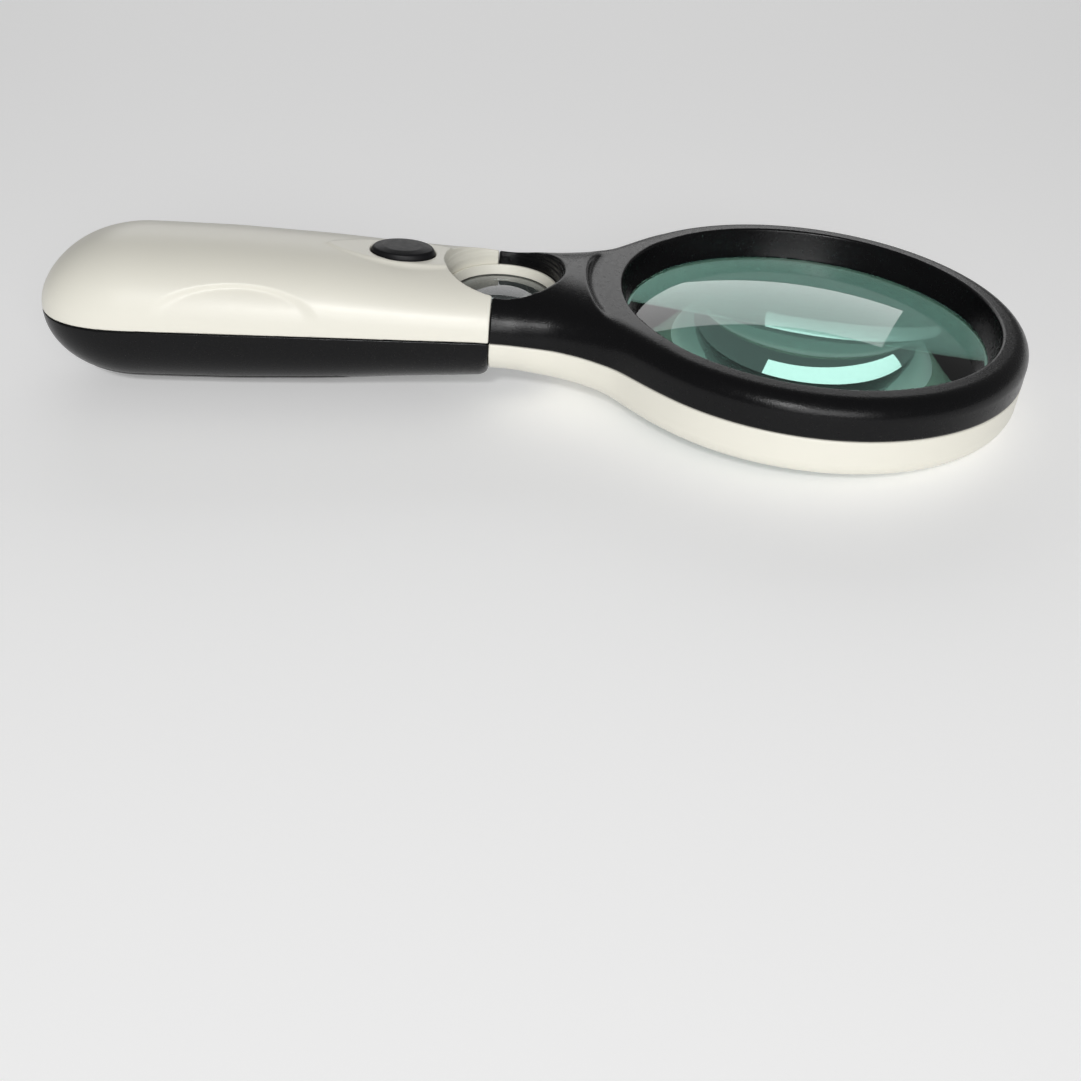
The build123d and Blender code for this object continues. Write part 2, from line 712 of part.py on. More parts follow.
# --- laid on the table ----------------------------------------------------------------------------
pieces = {
    "handle_top_shell": handle_top_shell,
    "handle_bottom_shell": handle_bottom_shell,
    "frame_top_shell": frame_top_shell,
    "frame_bottom_shell": frame_bottom_shell,
    "battery_door": battery_door,
    "main_lens": main_lens,
    "loupe_lens": loupe_lens,
    "loupe_tube": loupe_tube,
    "loupe_retaining_ring": loupe_retaining_ring,
    "switch_button": switch_button,
    "switch_plunger": switch_plunger,
    "switch_spring": switch_spring,
    "switch_body": switch_body,
    "circuit_board": circuit_board,
    "board_screws": board_screws,
    "resistors": resistors,
    "battery_cradle": battery_cradle,
    "battery_upper": battery_upper,
    "battery_left": battery_left,
    "battery_right": battery_right,
    "contact_plates": contact_plates,
    "contact_springs": contact_springs,
    "led_left": led_left,
    "led_right": led_right,
    "led_loupe": led_loupe,
    "led_board": led_board,
    "loupe_lamp_holder": loupe_lamp_holder,
    "battery_wire_red": battery_wire_red,
    "battery_wire_black": battery_wire_black,
    "lamp_wires": lamp_wires,
    "loupe_lamp_wire": loupe_lamp_wire,
}
tilt = Rotation(0, REST_TILT, 0)
tilted = {name: tilt * piece.part for name, piece in pieces.items()}
boxes = [part.bounding_box() for part in tilted.values()]
middle_x = (min(box.min.X for box in boxes) + max(box.max.X for box in boxes)) / 2
low_z = min(box.min.Z for box in boxes)
to_table = Location((-middle_x, 0, -low_z)) * tilt

os.makedirs("parts", exist_ok=True)
for name, piece in pieces.items():
    laid = to_table * piece.part
    laid.label = name
    export_step(laid, f"parts/{name}.step")
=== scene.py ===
"""Looks of the low vision magnifier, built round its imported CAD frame.

Shapes are worked out in the lens frame, in millimetres: the reading lens is centred on the origin
with its axis on Z, and the handle runs along -X. place() then lays them on the table as the CAD does.
"""

import math

import bpy
import numpy as np
from mathutils import Matrix, Vector


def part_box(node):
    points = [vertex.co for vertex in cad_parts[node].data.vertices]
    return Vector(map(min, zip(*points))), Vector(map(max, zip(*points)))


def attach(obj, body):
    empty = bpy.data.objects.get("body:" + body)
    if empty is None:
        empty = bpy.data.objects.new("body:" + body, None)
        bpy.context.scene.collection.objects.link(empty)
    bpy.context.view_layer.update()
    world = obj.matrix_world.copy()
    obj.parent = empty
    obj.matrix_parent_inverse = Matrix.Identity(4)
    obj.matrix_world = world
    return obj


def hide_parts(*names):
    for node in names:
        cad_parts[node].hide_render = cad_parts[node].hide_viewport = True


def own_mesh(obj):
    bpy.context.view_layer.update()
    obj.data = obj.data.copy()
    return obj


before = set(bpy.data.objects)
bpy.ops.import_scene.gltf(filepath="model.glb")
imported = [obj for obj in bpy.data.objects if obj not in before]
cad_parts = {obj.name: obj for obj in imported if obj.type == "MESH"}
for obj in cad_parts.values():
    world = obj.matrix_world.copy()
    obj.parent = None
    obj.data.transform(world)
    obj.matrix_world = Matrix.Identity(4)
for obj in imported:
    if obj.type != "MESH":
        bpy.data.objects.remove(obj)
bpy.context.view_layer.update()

MM = 0.001
TILT = math.radians(3.41)  # lens frame to table
lens_low, lens_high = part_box("main_lens")
ORIGIN = (lens_low + lens_high) / 2
TO_TABLE = Matrix.Translation(ORIGIN) @ Matrix.Rotation(TILT, 4, "Y")


# ---------------------------------------------------------------------------- outline of the body
GRID_STEP = 0.25
GRID_X = np.arange(-162.0, -24.0, GRID_STEP)
BLUR_REACH = 12  # grid steps on each side


def curve_of(table, soften=1.6):
    """A smooth curve through a short table of (x, value)."""
    xs, values = zip(*table)
    dense = np.interp(GRID_X, xs, values)
    reach = np.arange(-BLUR_REACH, BLUR_REACH + 1) * GRID_STEP
    weight = np.exp(-0.5 * (reach / soften) ** 2)
    padded = np.pad(dense, BLUR_REACH, mode="edge")
    smooth = np.convolve(padded, weight / weight.sum(), mode="valid")
    return lambda x: np.interp(x, GRID_X, smooth)


WALL = 1.8
JOINT_X = -65.2  # where handle and frame meet
TAIL_X, TAIL_ROUND = -159.0, 21.0
TAIL_PLAN_POWER, TAIL_SIDE_POWER = 2.4, 2.0
BEND_X, DROOP = -68.0, math.radians(2.58)
LOUPE_X = -63.5
BUTTON_X = -84.4
# half-width, heights above and below the middle, and the section's superellipse power
half_width = curve_of(
    [(-138, 18.0), (-70, 17.0), (-61, 16.9), (-52, 17.9), (-46, 20.1), (-40, 23.7), (-34, 28.6), (-30, 31.4)]
)
top_height = curve_of(
    [(-135, 14.4), (-120, 14.2), (-100, 13.1), (-84, 11.7), (-74, 11.0), (-58, 10.5), (-46, 9.9), (-30, 8.6)]
)
belly_height = curve_of([(-130, 15.8), (-118, 15.7), (-100, 14.9), (-84, 13.4), (-66, 12.2)])
neck_belly = curve_of([(-72, 10.0), (-46, 9.8), (-38, 9.4), (-30, 9.0)])
corner = curve_of([(-60, 2.25), (-46, 2.9), (-38, 3.6), (-30, 4.2)])


def droop(x):
    """Height of the handle's middle line."""
    return -math.sin(DROOP) * np.maximum(0.0, BEND_X - x)


def tail(x, inset, power):
    """Share of the full size left at x, going to nothing at the tail."""
    share = np.clip((TAIL_X + TAIL_ROUND - x) / (TAIL_ROUND - inset), 0, 0.9995)
    return (1 - share**power) ** (1 / power)


def soft_min(a, b, k):
    """Lesser of two fields, blended over k."""
    h = np.clip(0.5 + 0.5 * (b - a) / k, 0, 1)
    return b * (1 - h) + a * h - k * h * (1 - h)


def soft_max(a, b, k):
    return -soft_min(-a, -b, k)


def body(x, y, z, heights, inset=0.0):
    """Distance-like field of the handle and neck: a superellipse section along a drooping line."""
    wide = (half_width(x) - inset) * tail(x, inset, TAIL_PLAN_POWER)
    high = (heights(x) - inset) * tail(x, inset, TAIL_SIDE_POWER)
    n = corner(x)
    u = np.abs(y) / wide + 1e-6
    v = np.abs(z - droop(x)) / high + 1e-6
    g = (u**n + v**n) ** (1 / n)
    slope = np.hypot((u / g) ** (n - 1) / wide, (v / g) ** (n - 1) / high)
    return np.maximum((g - 1) / slope, TAIL_X + inset - x)


def ellipse(x, y, cx, a, b):
    """Distance-like field of an upright oval."""
    g = np.sqrt(((x - cx) / a) ** 2 + (y / b) ** 2) + 1e-6
    slope = np.hypot((x - cx) / a**2, y / b**2) / g + 1e-6
    return (g - 1) / slope


def smoothstep(low, high, t):
    s = np.clip((t - low) / (high - low), 0, 1)
    return s * s * (3 - 2 * s)


# ---------------------------------------------------------------------------------- field to mesh
COARSE = 1.0
SLOPE_STEP = 0.06
PROJECTIONS = 3


def ruler(*marks):
    """Grid positions through marks of (start, step), closed by the last one's end."""
    out = []
    for here, there in zip(marks, marks[1:]):
        end = there[0] if isinstance(there, tuple) else there
        count = max(2, round((end - here[0]) / (here[1] * COARSE)))
        out.append(np.linspace(here[0], end, count, endpoint=False))
    return np.concatenate([*out, [marks[-1]]])


def surface(field, axes):
    """Surface-net mesh of field < 0 on an uneven grid, its points then drawn onto the exact surface."""
    x, y, z = axes[0][:, None, None], axes[1][None, :, None], axes[2][None, None, :]
    values = np.asarray(field(x, y, z) + 0.0 * (x + y + z), np.float32)
    inside = values < 0
    cells = tuple(n - 1 for n in values.shape)
    corners = [(i, j, k) for i in (0, 1) for j in (0, 1) for k in (0, 1)]
    count = sum(
        inside[i : i + cells[0], j : j + cells[1], k : k + cells[2]].astype(np.int8) for i, j, k in corners
    )
    active = np.argwhere((count > 0) & (count < 8))
    index = np.full(cells, -1, np.int64)
    index[tuple(active.T)] = np.arange(len(active))
    sample = {c: values[tuple((active + c).T)] for c in corners}
    total = np.zeros((len(active), 3))
    hits = np.zeros(len(active))
    for a in corners:
        for axis in range(3):
            if a[axis]:
                continue
            b = tuple(1 if n == axis else a[n] for n in range(3))
            fa, fb = sample[a], sample[b]
            cross = (fa < 0) != (fb < 0)
            share = np.where(cross, fa / np.where(cross, fa - fb, 1), 0)
            point = np.array(a, float)[None, :].repeat(len(active), 0)
            point[:, axis] = share
            total += np.where(cross[:, None], point, 0)
            hits += cross
    share = total / hits[:, None]
    widths = [np.diff(line) for line in axes]
    points = np.stack(
        [axes[n][active[:, n]] + share[:, n] * widths[n][active[:, n]] for n in range(3)], 1
    )
    reach = np.stack([widths[n][active[:, n]] for n in range(3)], 1).min(1, keepdims=True) * 0.45
    quads = []
    for axis in range(3):
        p, q = (axis + 1) % 3, (axis + 2) % 3
        span = [slice(1, cells[0]), slice(1, cells[1]), slice(1, cells[2])]
        ahead = list(span)
        span[axis] = slice(0, cells[axis])
        ahead[axis] = slice(1, cells[axis] + 1)
        span[p] = ahead[p] = slice(1, cells[p])
        span[q] = ahead[q] = slice(1, cells[q])
        near, far = inside[tuple(span)], inside[tuple(ahead)]
        edges = np.argwhere(near != far)
        flip = far[tuple(edges.T)]
        base = edges + np.array([0 if n == axis else 1 for n in range(3)])
        dp, dq = np.eye(3, dtype=int)[p], np.eye(3, dtype=int)[q]
        ring = [index[tuple((base - s).T)] for s in (0 * dp, dp, dp + dq, dq)]
        quad = np.stack(ring, 1)
        quad[flip] = quad[flip][:, ::-1]
        quads.append(quad)
    faces = np.concatenate(quads)

    def slope_at(p):
        parts = []
        for n in range(3):
            d = np.zeros(3)
            d[n] = SLOPE_STEP
            ahead, behind = p + d, p - d
            parts.append((field(*ahead.T) - field(*behind.T)) / (2 * SLOPE_STEP))
        return np.stack(parts, 1)

    for _ in range(PROJECTIONS):
        grade = slope_at(points)
        move = field(*points.T)[:, None] * grade / np.maximum((grade**2).sum(1), 0.05)[:, None]
        length = np.linalg.norm(move, axis=1, keepdims=True)
        points = points - move * np.minimum(1, reach / np.maximum(length, 1e-9))
    normals = slope_at(points)
    normals /= np.maximum(np.linalg.norm(normals, axis=1, keepdims=True), 1e-9)
    return points, faces, normals


def place(points):
    """Lens-frame millimetres to table metres."""
    turn = np.array(TO_TABLE.to_3x3())
    return np.asarray(points) * MM @ turn.T + np.array(ORIGIN)


def new_object(name, points, faces, look, body_name, nodes, slot, normals=None, sharp=None):
    """A visible piece on a body, in place of the CAD nodes it stands for."""
    mesh = bpy.data.meshes.new(name)
    mesh.from_pydata(place(points).tolist(), [], [list(map(int, f)) for f in faces])
    mesh.shade_smooth()
    if sharp is not None:
        mesh.set_sharp_from_angle(angle=math.radians(sharp))
    if normals is not None:
        turn = np.array(TO_TABLE.to_3x3())
        mesh.normals_split_custom_set_from_vertices((normals @ turn.T).tolist())
    mesh.materials.append(look)
    made = bpy.data.objects.new(name, mesh)
    bpy.context.scene.collection.objects.link(made)
    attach(made, body_name)
    if nodes:
        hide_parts(*nodes)
    return made


def rounded(profile, radius, steps=5):
    """A profile with its corners rounded; a corner's third number is its own radius."""
    out = []
    last = len(profile) - 1
    for n, entry in enumerate(profile):
        p = np.array(entry[:2], float)
        r = entry[2] if len(entry) > 2 else radius
        if n in (0, last) or r == 0:
            out.append(p)
            continue
        a = np.array(profile[n - 1][:2], float) - p
        b = np.array(profile[n + 1][:2], float) - p
        la, lb = np.linalg.norm(a), np.linalg.norm(b)
        a, b = a / la, b / lb
        half = math.acos(np.clip(a @ b, -1, 1)) / 2
        cut = min(r / math.tan(half), 0.45 * la, 0.45 * lb)
        start, end = p + a * cut, p + b * cut
        for t in np.linspace(0, 1, steps):
            out.append((1 - t) ** 2 * start + 2 * t * (1 - t) * p + t * t * end)
    return out


def turned(profile, cx=0.0, around=160, closed=True, oval=(1.0, 1.0), at=None):
    """A body of revolution about an upright axis at cx, or about the Z of the matrix at."""
    profile = [np.array(p[:2], float) for p in profile]
    angle = np.linspace(0, 2 * math.pi, around, endpoint=False)
    points, rows = [], []
    for r, z in profile:
        if r < 1e-6:
            rows.append([len(points)])
            points.append((0.0, 0.0, z))
        else:
            rows.append(list(range(len(points), len(points) + around)))
            points += [(r * math.cos(a) * oval[0], r * math.sin(a) * oval[1], z) for a in angle]
    faces = []
    pairs = list(zip(rows, rows[1:])) + ([(rows[-1], rows[0])] if closed else [])
    for a, b in pairs:
        for n in range(around):
            m = (n + 1) % around
            loop = [a[n % len(a)], a[m % len(a)], b[m % len(b)], b[n % len(b)]]
            loop = [v for k, v in enumerate(loop) if v != loop[k - 1]]
            if len(loop) > 2:
                faces.append(loop)
    points = np.array(points)
    if at is not None:
        points = points @ np.array(at.to_3x3()).T + np.array(at.translation)
    else:
        points = points + np.array([cx, 0, 0])
    return points, faces


# -------------------------------------------------------------------------------------- materials
TONE_SCALE, GLOSS_SCALE, HAZE_SCALE = 90, 900, 60
GRAIN_HEIGHT = 0.00006


def material(
    name, color, rough, metallic=0.0, specular=0.5, coat=0.0, coat_rough=0.1,
    grain=0.0, grain_size=0.35, mottle=0.0, wear=0.04,
):
    """Plastic or metal with a fine moulded grain, faint tone mottling and uneven gloss."""
    m = bpy.data.materials.new(name)
    m.use_nodes = True
    nodes, links = m.node_tree.nodes, m.node_tree.links
    shader = nodes["Principled BSDF"]
    shader.inputs["Base Color"].default_value = (*color, 1)
    shader.inputs["Roughness"].default_value = rough
    shader.inputs["Metallic"].default_value = metallic
    shader.inputs["Specular IOR Level"].default_value = specular
    shader.inputs["Coat Weight"].default_value = coat
    shader.inputs["Coat Roughness"].default_value = coat_rough
    where = nodes.new("ShaderNodeTexCoord")
    if mottle:
        tone = nodes.new("ShaderNodeTexNoise")
        tone.inputs["Scale"].default_value = TONE_SCALE
        tone.inputs["Detail"].default_value = 4
        links.new(where.outputs["Object"], tone.inputs["Vector"])
        ramp = nodes.new("ShaderNodeMapRange")
        ramp.inputs["To Min"].default_value = 1 - mottle
        ramp.inputs["To Max"].default_value = 1 + mottle
        links.new(tone.outputs["Fac"], ramp.inputs["Value"])
        mix = nodes.new("ShaderNodeVectorMath")
        mix.operation = "SCALE"
        mix.inputs[0].default_value = color
        links.new(ramp.outputs["Result"], mix.inputs["Scale"])
        links.new(mix.outputs["Vector"], shader.inputs["Base Color"])
    gloss = nodes.new("ShaderNodeTexNoise")
    gloss.inputs["Scale"].default_value = GLOSS_SCALE
    gloss.inputs["Detail"].default_value = 5
    links.new(where.outputs["Object"], gloss.inputs["Vector"])
    spread = nodes.new("ShaderNodeMapRange")
    spread.inputs["From Min"].default_value = 0.3
    spread.inputs["From Max"].default_value = 0.7
    spread.inputs["To Min"].default_value = max(0.02, rough - wear)
    spread.inputs["To Max"].default_value = rough + wear
    links.new(gloss.outputs["Fac"], spread.inputs["Value"])
    links.new(spread.outputs["Result"], shader.inputs["Roughness"])
    if grain:
        fine = nodes.new("ShaderNodeTexNoise")
        fine.inputs["Scale"].default_value = 1000 / grain_size
        fine.inputs["Detail"].default_value = 2
        links.new(where.outputs["Object"], fine.inputs["Vector"])
        bump = nodes.new("ShaderNodeBump")
        bump.inputs["Strength"].default_value = grain
        bump.inputs["Distance"].default_value = GRAIN_HEIGHT
        links.new(fine.outputs["Fac"], bump.inputs["Height"])
        links.new(bump.outputs["Normal"], shader.inputs["Normal"])
    return m


def glass(name, color, rough, ior, smear):
    """Clear glass; smear is a faint unevenness of its polish."""
    m = bpy.data.materials.new(name)
    m.use_nodes = True
    nodes, links = m.node_tree.nodes, m.node_tree.links
    shader = nodes["Principled BSDF"]
    shader.inputs["Base Color"].default_value = (*color, 1)
    shader.inputs["Roughness"].default_value = rough
    shader.inputs["IOR"].default_value = ior
    shader.inputs["Transmission Weight"].default_value = 1.0
    where = nodes.new("ShaderNodeTexCoord")
    haze = nodes.new("ShaderNodeTexNoise")
    haze.inputs["Scale"].default_value = HAZE_SCALE
    haze.inputs["Detail"].default_value = 6
    links.new(where.outputs["Object"], haze.inputs["Vector"])
    spread = nodes.new("ShaderNodeMapRange")
    spread.inputs["From Min"].default_value = 0.45
    spread.inputs["From Max"].default_value = 0.8
    spread.inputs["To Min"].default_value = rough
    spread.inputs["To Max"].default_value = rough + smear
    links.new(haze.outputs["Fac"], spread.inputs["Value"])
    links.new(spread.outputs["Result"], shader.inputs["Roughness"])
    return m


IVORY = material(
    "ivory_plastic", (0.81, 0.79, 0.70), 0.42,
    coat=0.18, coat_rough=0.28, grain=0.15, mottle=0.006, wear=0.03,
)
BLACK = material(
    "black_plastic", (0.0045, 0.0045, 0.005), 0.25,
    specular=0.2, grain=0.5, grain_size=0.3, mottle=0.1,
)
BUTTON = material("button_plastic", (0.006, 0.006, 0.007), 0.42, specular=0.2, grain=0.5, mottle=0.1)
TUBE = material("tube_plastic", (0.006, 0.006, 0.007), 0.30, grain=0.3, grain_size=0.3, mottle=0.1)
LENS = glass("lens_glass", (0.34, 0.59, 0.52), 0.0, 1.52, smear=0.012)
LOUPE = glass("loupe_glass", (0.80, 0.90, 0.88), 0.0, 1.52, smear=0.012)
CLEAR = glass("lamp_resin", (0.97, 0.98, 0.95), 0.02, 1.5, smear=0.03)
CHROME = material("lamp_cup", (0.82, 0.81, 0.78), 0.14, metallic=1.0)
PHOSPHOR = material("lamp_phosphor", (0.85, 0.72, 0.18), 0.5, mottle=0.1)


# ------------------------------------------------------------------------------------- the shells
SEAM = 0.06  # half the gap at the parting line
EDGE = 0.35  # rounding of the shells' edges
RIM_R, RIM_TOP, RIM_BOTTOM, RIM_ROUND = 45.0, 8.0, 8.4, 3.6
RIM_SLOPE = 0.1  # the rim's top falls outwards
NECK_FRONT_X, NECK_BLEND = -30.0, 2.6
STEP_R = 46.3  # raised step beside the neck
LENS_SEAT_R, LENS_SEAT_HALF = 38.4, 1.5
RIM_BORE_R, RIM_BORE_FLARE = 37.5, 0.246
ROOM_R, ROOM_FRONT_X, ROOM_BACK_X = 47.8, -44, -62  # hollow of the neck
THROAT_WALL, CHANNEL_HALF, CHANNEL_HIGH = 3.35, 14.9, 2.2  # its opening to the handle
LOUPE_HOLE_R = 11.6
LOUPE_COLLAR_R = 13.2
TERRACE_FOOT, TERRACE_PITCH, TERRACES = 7.2, 0.85, 3
LAMP_X, LAMP_Y, LAMP_Z, LAMP_DIP = -44.6, 4.7, -8.1, math.radians(22)
LOUPE_LAMP_X, LOUPE_LAMP_Z, LOUPE_LAMP_DIP = -78.6, -9.6, math.radians(30)
DOOR_FRONT, DOOR_BACK, DOOR_HALF, DOOR_CORNER, DOOR_THICK = -93.0, -149.0, 12.5, 5.0, 1.6


def box(x, y, z, x0, x1, half, z0, z1):
    """Distance-like field of a block that is even about y = 0."""
    return np.maximum(
        np.maximum(np.abs(x - (x0 + x1) / 2) - (x1 - x0) / 2, np.abs(y) - half),
        np.abs(z - (z0 + z1) / 2) - (z1 - z0) / 2,
    )


def terraces(z, rise):
    """Small steps, one above another."""
    feet = [TERRACE_FOOT + k * TERRACE_PITCH for k in range(TERRACES)]
    return sum(rise * smoothstep(foot, foot + 0.22, z) for foot in feet)


def loupe_bore(x, y, z, cone):
    """Field of the loupe's stepped hole, opening out above in the ivory and below in the neck."""
    steps = terraces(z, 0.07 if cone else 0.24)
    if cone:
        flare = 0.14 * np.maximum(0, z - TERRACE_FOOT)
    else:
        flare = 0.7 * np.maximum(0, -7.4 - z)
    return LOUPE_HOLE_R + steps + flare - np.hypot(x - LOUPE_X, y)


def lamp_hole(x, y, z, cx, cy, cz, dip, radius, back, front):
    """A round hole along a lamp's beam, with a rounded far end."""
    dx, dy, dz = x - cx, y - cy, z - cz
    along = dx * math.cos(dip) - dz * math.sin(dip)
    off = dx * math.sin(dip) + dz * math.cos(dip)
    reach = np.maximum(along - front + radius, 0)
    return np.maximum(np.sqrt(dy**2 + off**2 + reach**2) - radius, -back - along)


def frame_half(top):
    """Field of the rim and neck's upper or lower shell."""
    sign = 1 if top else -1
    rim = RIM_TOP if top else RIM_BOTTOM
    heights = top_height if top else neck_belly

    def field(x, y, z):
        up = sign * z
        r = np.hypot(x, y)
        side = r - (RIM_R - RIM_ROUND)
        roof = np.abs(z) - (rim - RIM_ROUND) + (RIM_SLOPE * np.clip(r - 38.5, 0, 7) if top else 0.0)
        ring = np.hypot(np.maximum(side, 0), np.maximum(roof, 0)) - RIM_ROUND
        ring = ring + np.minimum(np.maximum(side, roof), 0)
        neck = soft_max(body(x, y, z, heights), x - NECK_FRONT_X, 2.0)
        outer = soft_min(neck, ring, NECK_BLEND)
        foot = soft_min(STEP_R - r, up - rim + 0.1, 2.2)
        outer = soft_max(outer, foot, 0.8)
        off_seat = np.abs(z) - LENS_SEAT_HALF
        bore = np.where(off_seat < 0, LENS_SEAT_R, RIM_BORE_R + RIM_BORE_FLARE * off_seat) - r
        outer = soft_max(outer, bore, 0.5)
        outer = soft_max(outer, JOINT_X + SEAM - x, EDGE)
        outer = soft_max(outer, SEAM - up, EDGE)
        outer = soft_max(outer, loupe_bore(x, y, z, False), 0.9 if top else 0.6)
        room = np.maximum(body(x, y, z, heights, WALL), ROOM_R - r)
        room = np.maximum(room, np.maximum(x - ROOM_FRONT_X, ROOM_BACK_X - x))
        throat = np.maximum(body(x, y, z, heights, THROAT_WALL), x + 61.8)
        channel = np.maximum(np.maximum(np.abs(y) - CHANNEL_HALF, np.abs(z) - CHANNEL_HIGH), x + 61.6)
        collar = np.maximum(np.hypot(x - LOUPE_X, y) - LOUPE_COLLAR_R, 3.0 - up)
        hollow = np.maximum(np.minimum(np.minimum(room, throat), channel), -collar)
        shell = np.maximum(outer, -hollow)
        if not top:
            for spot in (LAMP_Y, -LAMP_Y):
                hole = lamp_hole(x, y, z, LAMP_X, spot, LAMP_Z, LAMP_DIP, 1.75, 6.0, 5.0)
                shell = soft_max(shell, -hole, 0.3)
        return shell

    return field


PLATEAU_X, PLATEAU_HALF, PLATEAU_BEHIND, PLATEAU_AHEAD = -82.0, 5.4, 17.6, 16.0
THUMB_X, THUMB_LIFT, THUMB_LONG, THUMB_HIGH, THUMB_DEPTH = -116.0, 3.4, 17.0, 6.1, 0.75
BUTTON_HOLE = (6.75, 4.95)
POST_X, POST_SPREAD, POST_Y, POST_R = -85.8, 4.4, 8.8, 1.8


def plateau_half(x):
    """Half-width of the flat teardrop on the crest that the button stands on."""
    share = np.where(x < PLATEAU_X, (PLATEAU_X - x) / PLATEAU_BEHIND, (x - PLATEAU_X) / PLATEAU_AHEAD)
    return PLATEAU_HALF * (1 - np.clip(np.abs(share), 0, 1) ** 2) ** 0.75


def thumb_relief(x, y, lift):
    """Depth of the shallow thumb recess in each flank, deepest under its arched upper edge."""
    arch = np.sqrt(((x - THUMB_X) / THUMB_LONG) ** 2 + ((lift - THUMB_LIFT) / THUMB_HIGH) ** 2)
    return THUMB_DEPTH * smoothstep(1.02, 0.80, arch) * smoothstep(1.0, 9.0, lift) * (np.abs(y) > 4)


def handle_top(x, y, z):
    """Field of the ivory upper shell, with the plateau, the screw posts and the loupe's collar."""
    lift = z - droop(x)
    skin = body(x, y, z, top_height) + thumb_relief(x, y, lift)
    crest = top_height(x) + 0.12 + 0.02 * np.clip(-92 - x, 0, 8)
    bevel = 0.57 * (np.abs(y) - plateau_half(x) - 0.8) + 0.82 * (lift - crest + 0.5)
    plateau = np.maximum(soft_max(lift - crest, bevel, 0.25), 8.0 - lift)
    skin = soft_min(skin, np.where((x > -100) & (x < -60), plateau, 1.0), 0.25)
    skin = soft_max(skin, x - JOINT_X + SEAM, EDGE)
    skin = soft_max(skin, SEAM - lift, EDGE)
    skin = soft_max(skin, loupe_bore(x, y, z, True), 0.3)
    room = body(x, y, z, top_height, WALL)
    collar = -loupe_bore(x, y, z, True) - 1.6
    posts = np.hypot(np.abs(x - POST_X) - POST_SPREAD, np.abs(y) - POST_Y) - POST_R
    kept = np.minimum(np.maximum(collar, 3.0 - z), np.maximum(posts, 2.6 - z))
    skin = np.maximum(skin, -np.maximum(room, -kept))
    return soft_max(skin, -np.maximum(ellipse(x, y, BUTTON_X, *BUTTON_HOLE), 5 - z), 0.35)


def door_plan(x, y, grow):
    """Distance-like field of the battery door's outline."""
    dx = np.abs(x - (DOOR_FRONT + DOOR_BACK) / 2) - ((DOOR_FRONT - DOOR_BACK) / 2 + grow - DOOR_CORNER)
    dy = np.abs(y) - (DOOR_HALF + grow - DOOR_CORNER)
    corners = np.hypot(np.maximum(dx, 0), np.maximum(dy, 0)) - DOOR_CORNER
    return corners + np.minimum(np.maximum(dx, dy), 0)


NOSE_X, NOSE_R = -67.6, 2.4
SCOOP_X, SCOOP_WIDE, SCOOP_NARROW, SCOOP_LENGTH = -66.0, 10.9, 2.1, 11.4
SCOOP_FLOOR_X, SCOOP_FLOOR_Z, SCOOP_RISE = -69.0, -7.6, 0.42
SLOT = (-154.2, -150.6, 3.2, -30, -12.6)  # x from and to, half-width, z from and to
DOOR_GAP = 0.28


def belly_nose(x):
    """Belly height of the handle, rounding off at its front end."""
    past = np.clip(x - NOSE_X, 0, NOSE_R * 0.98)
    return belly_height(x) - (NOSE_R - np.sqrt(NOSE_R**2 - past**2))


def lamp_scoop(x, y, z):
    """The tapering scoop between the loupe's hole and its lamp, its floor rising to the loupe."""
    wide, narrow, length = SCOOP_WIDE, SCOOP_NARROW, SCOOP_LENGTH
    lean = (wide - narrow) / length
    across = math.sqrt(1 - lean**2)
    px, py = np.abs(y) + 0 * x, SCOOP_X - x + 0 * y
    side = py * across - px * lean
    plan = np.where(
        -px * lean + py * across < 0,
        np.hypot(px, py) - wide,
        np.where(side > across * length, np.hypot(px, py - length) - narrow, px * across + py * lean - wide),
    )
    floor = SCOOP_FLOOR_Z - SCOOP_RISE * np.maximum(0, SCOOP_FLOOR_X - x)
    return soft_max(plan, z - floor, 1.2)


def handle_bottom(x, y, z):
    """Field of the black lower shell, with the lamp's scoop, the door's opening and the slot behind it."""
    lift = z - droop(x)
    skin = body(x, y, z, belly_nose)
    skin = soft_max(skin, x - JOINT_X + SEAM, EDGE)
    skin = soft_max(skin, SEAM + lift, EDGE)
    bore = LOUPE_HOLE_R - np.hypot(x - LOUPE_X, y)
    scoop = lamp_scoop(x, y, z)
    skin = soft_max(skin, bore, 0.6)
    skin = soft_max(skin, -scoop, 0.7)
    notch = box(x, y, z, *SLOT) - 0.5
    skin = soft_max(skin, -notch, 0.5)
    room = body(x, y, z, belly_height, WALL)
    room = np.maximum(np.maximum(room, 1.5 - scoop), LOUPE_COLLAR_R - np.hypot(x - LOUPE_X, y))
    room = np.maximum(room, 1.2 - notch)
    skin = np.maximum(skin, -room)
    hole = np.maximum(door_plan(x, y, DOOR_GAP), z + 6)
    return soft_max(skin, -hole, 0.28)


def battery_door(x, y, z):
    """Field of the battery door with its hinge tab."""
    skin = soft_max(body(x, y, z, belly_height), np.maximum(door_plan(x, y, 0.0), z + 6), 0.4)
    skin = np.maximum(skin, -body(x, y, z, belly_height, DOOR_THICK))
    lip = droop(DOOR_FRONT) - belly_height(DOOR_FRONT)
    tab = box(x, y, z, DOOR_FRONT - 2.4, DOOR_FRONT + 1.3, 4.6, lip + 2.5, lip + 3.6)
    web = box(x, y, z, DOOR_FRONT - 2.4, DOOR_FRONT - 0.2, 4.6, lip + 1.0, lip + 3.0)
    return np.minimum(skin, np.minimum(tab, web))


